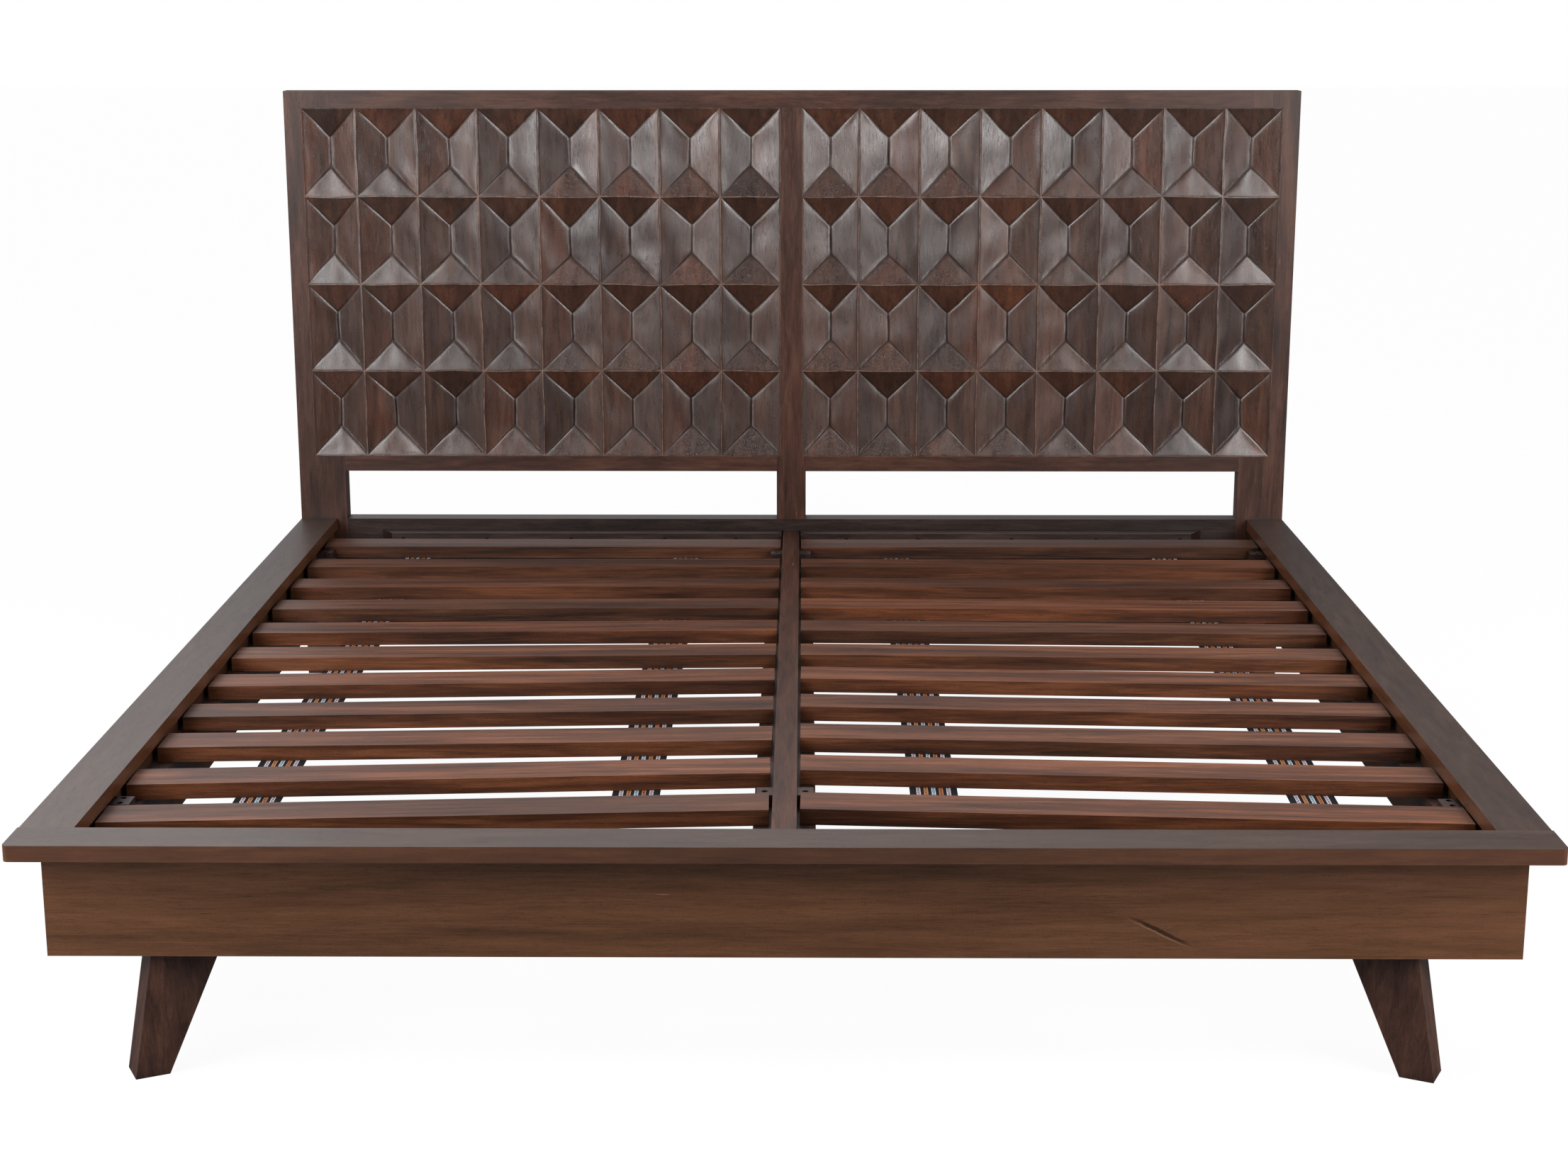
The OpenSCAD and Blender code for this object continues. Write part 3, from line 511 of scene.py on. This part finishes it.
class Carving:
    """The carved face of one panel: cells with four slopes that run from crests to a valley."""

    def __init__(self, side, node):
        self.sign = SIDES[side]
        self.low, self.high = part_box(node)
        self.xs = column_edges(side, self.low.x, self.high.x)
        row = (self.high.z - self.low.z) / CELL_ROWS
        self.zs = [self.low.z + row * j for j in range(CELL_ROWS + 1)]
        self.verts, self.wear, self.groove, self.glint = [], [], [], []
        self.faces, self.tones = [], []
        self.shared = {}
        for i in range(CELL_COLUMNS):
            for j in range(CELL_ROWS):
                self.cell(i, j)
        self.back()

    def point(self, key, x, z, t, share, run, cell, straight=False, lit=0.0, crest_shade_share=0.0):
        """A vertex t of the way down a slope of length run, at this share of the full depth."""
        if key in self.shared:
            return self.shared[key]
        i, j = cell
        low, high = self.low, self.high
        uneven = wander(i * 3.1 + self.sign * 9, j * 2.3, 4.4, DEPTH_SPREAD)
        depth = CELL_DEPTH - SPARE_DEPTH + uneven
        crest = t * run
        crease = (1 - t) * run * (1 if straight else HIP_SLANT)
        rim = min(x - low.x, high.x - x, z - low.z, high.z - z)
        y = t * share * depth
        y += RUB_DEPTH * bell(crest, RUB_WIDTH)
        cut = bell(crease, KNIFE_WIDTH) if t > 0.5 else 0.0
        lip = bell(crease - LIP_PLACE, LIP_WIDTH) if t > 0.5 else 0.0
        y += KNIFE_DEPTH * cut * share * (0.7 + wander(x * 31, z * 31, 1.7, 0.3))
        y -= LIP_HEIGHT * lip * share * lit
        body = min(1, crest / BODY_FROM_CREST) * min(1, crease / BODY_FROM_CREASE)
        y += body * wander(x * 19, z * 13, self.sign * 2.0, SWELL)
        y += body * wander(x * 60, z * 25, self.sign * 7.0, CHISEL_MARK)
        fade = min(1.0, rim / RIM_FADE)
        y = max(0.0, y * (0.15 + 0.85 * fade if rim > 1e-5 else 0.0))
        hold = min(1.0, rim / RIM_HOLD)
        x += wander(x * 9 + 2, z * 13, self.sign * 5.0, CREST_DRIFT_X) * hold
        x += wander(i * 4.7, j * 3.3, 8.8 + self.sign, VALLEY_DRIFT) * t * share * hold
        z += wander(x * 12, z * 9 + 7, self.sign * 3.0 + 1, CREST_DRIFT_Z) * hold
        z += wander(i * 2.7, j * 5.3, 3.8 + self.sign, VALLEY_DRIFT) * t * share * hold
        self.verts.append((x, low.y + y, z))
        # a pale line along each crest, partly wear and partly a painted highlight
        worn = bell(crest, CREST_WEAR_AND_HIGHLIGHT_WIDTH)
        # painted shadow: a dark line just off the crest on the top slopes, and on one side slope
        # mirrored between the panels, where the crest shades the slope
        painted_crest_shadow = bell(crest - CREST_SHADOW_PLACE, CREST_SHADOW_WIDTH) * crest_shade_share if t < 0.5 else 0.0
        self.wear.append(worn * min(1.0, 0.5 + rim / (4 * MM)))
        # a dark line along each crease, partly glaze and partly painted shade, with the painted
        # crest shadow added
        self.groove.append(min(1.0, cut * (0.3 + 0.7 * share) + painted_crest_shadow))
        self.glint.append(lip * lit)
        index = len(self.verts) - 1
        if key is not None:
            self.shared[key] = index
        return index

    def slope(self, lines, tone, flip):
        """Joins lines of vertices that run from a crest to a crease."""
        for a, b in zip(lines, lines[1:]):
            for k in range(max(len(a), len(b)) - 1):
                if len(a) == 1:
                    face = [a[0], b[k], b[k + 1]]
                elif len(b) == 1:
                    face = [a[k], b[0], a[k + 1]]
                else:
                    face = [a[k], b[k], b[k + 1], a[k + 1]]
                self.faces.append(tuple(reversed(face)) if flip else tuple(face))
                self.tones.append(tone)

    def cell(self, i, j):
        """The four slopes of one cell: the two beside the valley, then the two at its ends."""
        x0, x1, z0, z1 = self.xs[i], self.xs[i + 1], self.zs[j], self.zs[j + 1]
        xm, half = (x0 + x1) / 2, (x1 - x0) / 2
        valley = (z1 - z0) - 2 * HIP_RISE
        cell = (i, j)

        def corner(a, b):
            return self.point(("P", i + a, j + b), (x0, x1)[a], (z0, z1)[b], 0, 0, 0, cell)

        def crease(a, level):
            """A vertex of the crease beside crest a, from the bottom corner at 0 upwards."""
            n = len(HIP_STEPS)
            if level <= n:
                s, b, k = HIP_STEPS[level - 1], 0, level
            elif level <= n + 1 + VALLEY_STEPS:
                v = level - n - 1
                z = z0 + HIP_RISE + valley * v / VALLEY_STEPS
                return self.point(("V", i, j, v), xm, z, 1, 1, half, cell, True), 1.0, z
            else:
                k = 2 * n + 2 + VALLEY_STEPS - level
                s, b = HIP_STEPS[k - 1], 1
            x = (x0, x1)[a] + (1, -1)[a] * s * half
            z = (z0, z1)[b] + (1, -1)[b] * s * HIP_RISE
            return self.point(("H", i, j, a, b, k), x, z, 1, s, s * half, cell), s, z

        top = 2 * len(HIP_STEPS) + 2 + VALLEY_STEPS
        for a in (0, 1):
            tone = 0.5 + wander(i * 5.3 + self.sign * 3, j * 7.7, a * 3.9 + 0.5, TONE_SPREAD)
            lines = [[corner(a, 0)]]
            crest_shade_share = SIDE_CREST_SHADOW if (a == 0) == (self.sign < 0) else 0.0
            for level in range(1, top):
                end, s, z = crease(a, level)
                run = s * half
                above_valley = level > len(HIP_STEPS) + 1 + VALLEY_STEPS
                lit = GLINT_FAR
                if (a == 1) == (self.sign < 0):
                    lit = GLINT_HIGH if above_valley else GLINT_LOW
                line = []
                for q, t in enumerate(SLOPE_STEPS[:-1]):
                    key = ("CV", i + a, j, level) if q == 0 else None
                    x = (x0, x1)[a] + (1, -1)[a] * t * run
                    line.append(self.point(key, x, z, t, s, run, cell, s == 1.0, lit, crest_shade_share))
                lines.append(line + [end])
            lines.append([corner(a, 1)])
            self.slope(lines, tone, a == 0)
        for b in (0, 1):
            tone = 0.5 + wander(i * 5.3 + self.sign * 3, j * 7.7, b * 3.9 + 8.5, TONE_SPREAD)
            lines = [[corner(0, b)]]
            crest_shade_share = TOP_CREST_SHADOW if b == 1 else 0.0
            n = len(HIP_STEPS)
            for m in range(1, 2 * n + 2):
                a, k = (0, m) if m <= n else (1, 2 * n + 2 - m)
                level = k if b == 0 else top - k
                end, s, _ = crease(a, level)
                x = (x0, x1)[a] + (1, -1)[a] * s * half
                line = []
                for q, t in enumerate(SLOPE_STEPS[:-1]):
                    key = ("CH", i, j + b, m) if q == 0 else None
                    z = (z0, z1)[b] + (1, -1)[b] * t * s * HIP_RISE
                    line.append(self.point(key, x, z, t, s, s * HIP_RISE, cell, crest_shade_share=crest_shade_share))
                lines.append(line + [end])
            lines.append([corner(1, b)])
            self.slope(lines, tone, b == 1)

    def back(self):
        """Closes the panel with its edges and its plain back."""
        low, high = self.low, self.high
        near = 1e-6
        loop = []
        for key, index in self.shared.items():
            if key[0] in ("P", "CV", "CH"):
                x, _, z = self.verts[index]
                if min(x - low.x, high.x - x, z - low.z, high.z - z) < near:
                    angle = math.atan2(z - (low.z + high.z) / 2, x - (low.x + high.x) / 2)
                    loop.append((angle, index))
        loop = [index for _, index in sorted(loop)]
        first = len(self.verts)
        for index in loop:
            x, _, z = self.verts[index]
            self.verts.append((x, high.y, z))
            self.wear.append(0.0)
            self.groove.append(0.0)
            self.glint.append(0.0)
        count = len(loop)
        for k in range(count):
            m = (k + 1) % count
            self.faces.append((loop[k], first + k, first + m, loop[m]))
            self.tones.append(0.5)
        self.faces.append(tuple(first + k for k in range(count)))
        self.tones.append(0.5)


def face_outwards(mesh):
    work = bmesh.new()
    work.from_mesh(mesh)
    bmesh.ops.recalc_face_normals(work, faces=work.faces)
    work.to_mesh(mesh)
    work.free()


def carved_panel(side, node):
    """Puts the carved face, edges and back in the place of a CAD panel."""
    carving = Carving(side, node)
    mesh = bpy.data.meshes.new("carving_" + side)
    mesh.from_pydata(carving.verts, [], carving.faces)
    for name, domain, values in (
        ("tone", "FACE", carving.tones),
        ("wear", "POINT", carving.wear),
        ("groove", "POINT", carving.groove),
        ("glint", "POINT", carving.glint),
    ):
        layer = mesh.attributes.new(name, "FLOAT", domain)
        layer.data.foreach_set("value", values)
    face_outwards(mesh)
    mesh.shade_smooth()
    mesh.set_sharp_from_angle(angle=math.radians(50))
    panel = bpy.data.objects.new("carving_" + side, mesh)
    bpy.context.collection.objects.link(panel)
    mesh.materials.append(carved_wood("carving_wood_" + side, 3.0 + SIDES[side]))
    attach(panel, "frame")
    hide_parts(node)


def carved_wood(name, seed):
    """The panel wood, with pale crests that are part wear and part painted highlight, dark creases
    that are part glaze and part painted shade, painted shadow lines beside the crests and painted
    highlight lines beside the creases.
    """
    net = wood(name, "Z", *TONES["panel"], seed, tone="tone", **FINISH["panel"])
    base = net.bsdf.inputs["Base Color"].links[0].from_socket
    coords = net.add("TexCoord").outputs["Object"]
    patchy = net.noise(coords, 60, 3, 0.6)
    # pale crests, part wear and part painted highlight
    wear = net.add("Attribute", attribute_name="wear").outputs["Fac"]
    rubbed = net.math("MULTIPLY", wear, net.span(patchy, 0.35, 0.62, 0.1, 0.7))
    base = net.mix(rubbed, base, tinted(CREST_COLOUR, 1.0))
    # dark creases, part glaze and part painted shade, with the painted shadow lines beside the
    # crests
    cut = net.add("Attribute", attribute_name="groove").outputs["Fac"]
    base = net.mix(net.math("MULTIPLY", cut, 0.8), base, tinted(CREASE_GLAZE_AND_SHADE_COLOUR, 1.0))
    lit = net.add("Attribute", attribute_name="glint").outputs["Fac"]
    lit = net.math("MULTIPLY", lit, net.span(patchy, 0.35, 0.6, 0.2, 0.75))
    base = net.mix(lit, base, tinted(GLINT_COLOUR, 1.0))
    net.put(net.bsdf.inputs["Base Color"], base)
    return net.mat


# ---------- the webbing ----------

TAPE_X = (220 * MM, 780 * MM)
TAPE_W = 72 * MM
TAPE_T = 1.6 * MM
TAPE_COLUMNS = 24
TAPE_ROWS = 320
# the weave stops a little short of the tape's edges and faces
TAPE_FILL = 0.985
FACE_INSET = 0.12 * MM
CORD_HEIGHT = 0.06 * MM
SELVEDGE_DROP = 0.35 * MM
SWAY = 0.9 * MM
# a tape hangs slack beyond this distance from a slat's middle, and fully so over this run
HELD_HALF = 38 * MM
SLACK_RUN = 30 * MM
SLACK = 1.1 * MM

STRIPE_TINTS = ("D8CBD2", "C98A55", "BFD4DE", "C2794A", "D8C8D0")
STRIPE_STEP = 11.2 * MM
STRIPE_HALF = 3.0 * MM
# a stripe is two pale lines outside this distance, with slanting stitches between them
STRIPE_CORE = 1.9 * MM
STITCH_STEP = 8 * MM
STITCH_LEAD = 6 * MM
STITCH_WIDTH = 0.11
RIB_STEP = 1.3 * MM
WARP_STEP = 1.1 * MM


def webbing_material():
    """Dark woven tape with five lengthwise stripes of slanting stitches."""
    net = Net("striped_webbing")
    across = net.add("Attribute", attribute_name="across").outputs["Fac"]
    along = net.add("Attribute", attribute_name="along").outputs["Fac"]
    coords = net.add("TexCoord").outputs["Object"]
    fuzz = net.noise(coords, 900, 3, 0.6)
    colour = net.ramp(fuzz, [(0.3, linear("05070A")), (0.7, linear("151B24"))])
    beat = net.math("PINGPONG", net.math("DIVIDE", along, STITCH_STEP), 0.5)
    for k, tint in enumerate(STRIPE_TINTS):
        off = net.math("SUBTRACT", across, (k - 2) * STRIPE_STEP)
        size = net.math("ABSOLUTE", off)
        inside = net.math("LESS_THAN", size, STRIPE_HALF)
        edge = net.math("GREATER_THAN", size, STRIPE_CORE)
        lead = net.math("ADD", net.math("DIVIDE", off, STITCH_LEAD), 0.5)
        lead = net.math("MULTIPLY", lead, 0.5)
        slant = net.math("ABSOLUTE", net.math("SUBTRACT", beat, lead))
        slant = net.math("LESS_THAN", slant, STITCH_WIDTH)
        shown = net.math("MULTIPLY", inside, net.math("MAXIMUM", edge, slant))
        colour = net.mix(net.math("MULTIPLY", shown, 0.85), colour, (*linear(tint), 1))
    rib = net.math("SINE", net.math("MULTIPLY", along, 2 * math.pi / RIB_STEP))
    warp = net.math("SINE", net.math("MULTIPLY", across, 2 * math.pi / WARP_STEP))
    weave = net.math("MULTIPLY", rib, warp)
    weave = net.math("ADD", weave, net.math("MULTIPLY", fuzz, 0.8))
    bump = net.add("Bump", {"Strength": 0.6, "Distance": 0.0004, "Height": weave}).outputs[0]
    net.put(net.bsdf.inputs["Base Color"], colour)
    net.put(net.bsdf.inputs["Roughness"], net.span(fuzz, 0.3, 0.7, 0.7, 0.9))
    net.put(net.bsdf.inputs["Normal"], bump)
    net.bsdf.inputs["Specular IOR Level"].default_value = 0.2
    return net.mat


def tape_tops(vertices, centre, middle):
    """The height of a CAD tape's top at its four corners, keyed by their sides in x and y."""
    own = [v for v in vertices if abs(v.x - centre) < TAPE_W]
    tops = {}
    for sx in (-1, 1):
        for sy in (-1, 1):
            corner = [v.z for v in own if (v.x - centre) * sx > 0 and (v.y - middle) * sy > 0]
            tops[sx, sy] = max(corner)
    return tops


def tape_faces(start):
    """The faces of a grid of vertices for the top, followed by one for the underside."""
    wide = TAPE_COLUMNS + 1
    sheet = wide * (TAPE_ROWS + 1)
    faces = []
    for r in range(TAPE_ROWS):
        for c in range(TAPE_COLUMNS):
            a = start + r * wide + c
            faces.append((a, a + 1, a + wide + 1, a + wide))
            b = a + sheet
            faces.append((b, b + wide, b + wide + 1, b + 1))
    for r in range(TAPE_ROWS):
        for c, flip in ((0, False), (TAPE_COLUMNS, True)):
            a = start + r * wide + c
            quad = (a, a + wide, a + wide + sheet, a + sheet)
            faces.append(tuple(reversed(quad)) if flip else quad)
    for c in range(TAPE_COLUMNS):
        for r, flip in ((0, True), (TAPE_ROWS, False)):
            a = start + r * wide + c
            quad = (a, a + 1, a + 1 + sheet, a + sheet)
            faces.append(tuple(reversed(quad)) if flip else quad)
    return faces


def webbing(side, mat):
    """Two woven tapes, a little slack between the slats that they're stapled to."""
    sign = SIDES[side]
    node = side + "_tapes"
    low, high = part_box(node)
    slats = [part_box(f"slat_{side}_{k:02d}") for k in range(1, SLATS + 1)]
    holds = [(b[0].y + b[1].y) / 2 for b in slats]
    cad = [v.co.copy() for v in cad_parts[node].data.vertices]
    verts, faces, acrosses, alongs = [], [], [], []
    for x in TAPE_X:
        centre = sign * x
        tops = tape_tops(cad, centre, (low.y + high.y) / 2)
        start = len(verts)
        for underside in (False, True):
            for r in range(TAPE_ROWS + 1):
                v = r / TAPE_ROWS
                y = low.y + (high.y - low.y) * v
                gap = min(abs(y - h) for h in holds)
                slack = SLACK * min(1, max(0, (gap - HELD_HALF) / SLACK_RUN)) ** 2
                for c in range(TAPE_COLUMNS + 1):
                    u = c / TAPE_COLUMNS
                    top = (tops[-1, -1] * (1 - u) + tops[1, -1] * u) * (1 - v)
                    top += (tops[-1, 1] * (1 - u) + tops[1, 1] * u) * v
                    rim = 1 - min(1, min(u, 1 - u) * 18)
                    hollow = FACE_INSET + CORD_HEIGHT * math.sin(c * 2.1) + rim * SELVEDGE_DROP
                    z = top - slack - (TAPE_T - hollow if underside else hollow)
                    sway = wander(y * 4, x * 7, sign, SWAY) * (0 if r in (0, TAPE_ROWS) else 1)
                    offset = (u - 0.5) * TAPE_W * TAPE_FILL
                    verts.append((centre + offset + sway * 0.5, y, z))
                    acrosses.append(offset)
                    alongs.append(y - low.y)
        faces += tape_faces(start)
    mesh = bpy.data.meshes.new("webbing_" + side)
    mesh.from_pydata(verts, [], faces)
    for name, values in (("across", acrosses), ("along", alongs)):
        layer = mesh.attributes.new(name, "FLOAT", "POINT")
        layer.data.foreach_set("value", values)
    mesh.materials.append(mat)
    face_outwards(mesh)
    mesh.shade_smooth()
    band = bpy.data.objects.new("webbing_" + side, mesh)
    bpy.context.collection.objects.link(band)
    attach(band, side + "_slat_roll")
    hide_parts(node)


# ---------- build ----------

add_camera()
add_world()
add_floor()
for sign in (-1, 1):
    add_softbox(sign)
bpy.context.scene.view_settings.view_transform = "Standard"

# how dark and how red each slat came out, from the head to the foot
SLAT_GAIN = {
    "left": (0.75, 0.85, 0.9, 0.85, 1.0, 1.1, 0.95, 1.0, 1.0, 1.1, 0.95),
    "right": (0.8, 0.9, 0.9, 1.1, 0.85, 1.15, 0.95, 1.0, 1.05, 1.1, 1.0),
}
SLAT_WARM = {
    "left": (0, 0, 0.05, -0.05, 0.1, 0, 0.05, 0, 0.05, 0.05, 0),
    "right": (0, 0.05, 0.05, 0.1, 0, 0, 0.05, 0.05, 0, 0.05, 0.05),
}

board("headboard_left_post", "frame", "Z", 1.0)
board("headboard_right_post", "frame", "Z", 2.0)
board("headboard_centre_post", "frame", "Z", 3.0)
board("headboard_top_rail", "frame", "X", 4.0)
board("headboard_panel_rail_left", "frame", "X", 5.0)
board("headboard_panel_rail_right", "frame", "X", 6.0)
board("headboard_lower_rail", "cleat", "X", 7.0, gain=0.8)
for side, sign in SIDES.items():
    board(f"head_cleat_{side}", "cleat", "X", 8.0 + sign, worn=0.9)
    board(f"{side}_side_rail", "side", "Y", 11.0 + sign)
    board(f"{side}_side_cap", "cap", "Y", 14.0 + sign, BROAD_ARRIS)
    board(f"{side}_ledger", "ledger", "Y", 17.0 + sign)
    board(f"centre_ledger_{side}", "ledger", "Y", 20.0 + sign)
    board(f"front_{side}_leg", "leg", "Z", 23.0 + sign, LEG_ARRIS)
    for k in range(1, SLATS + 1):
        board(
            f"slat_{side}_{k:02d}", "slat", "X", 30.0 + k * 1.3 + sign * 0.6, BROAD_ARRIS,
            worn=1.0, gain=SLAT_GAIN[side][k - 1], warm=SLAT_WARM[side][k - 1],
        )

# a slanting knot mark in the front of the foot rail
KNOT_X, KNOT_Z = 516 * MM, 212 * MM
KNOT_TILT = math.radians(-26)
KNOT_LENGTH, KNOT_WIDTH = 52 * MM, 3.8 * MM
knot = (KNOT_X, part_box("foot_rail")[0].y, KNOT_Z)
board("foot_rail", "apron", "X", 26.0, mark=(knot, KNOT_TILT, KNOT_LENGTH, KNOT_WIDTH))
board("foot_cap", "cap", "X", 27.0, BROAD_ARRIS)
board("centre_rail", "rail", "Y", 28.0)
for node, axis in (
    ("stop_blocks", "Y"),
    ("foot_corner_blocks", "Z"),
    ("leg_mounting_blocks", "Y"),
    ("support_legs", "Z"),
):
    board(node, "ledger", axis, 50.0)

zinc = steel("zinc_steel")
dark_zinc = steel("dark_zinc", 0.18, 0.5)
for node, metal in (
    ("panel_screws", zinc),
    ("wood_screws", dark_zinc),
    ("leg_bolts", zinc),
    ("steel_brackets", zinc),
    ("bracket_bolts", zinc),
    ("left_staples", zinc),
    ("right_staples", zinc),
):
    paint(node, [metal])

for side in SIDES:
    carved_panel(side, "carved_panel_" + side)
tape_mat = webbing_material()
for side in SIDES:
    webbing(side, tape_mat)
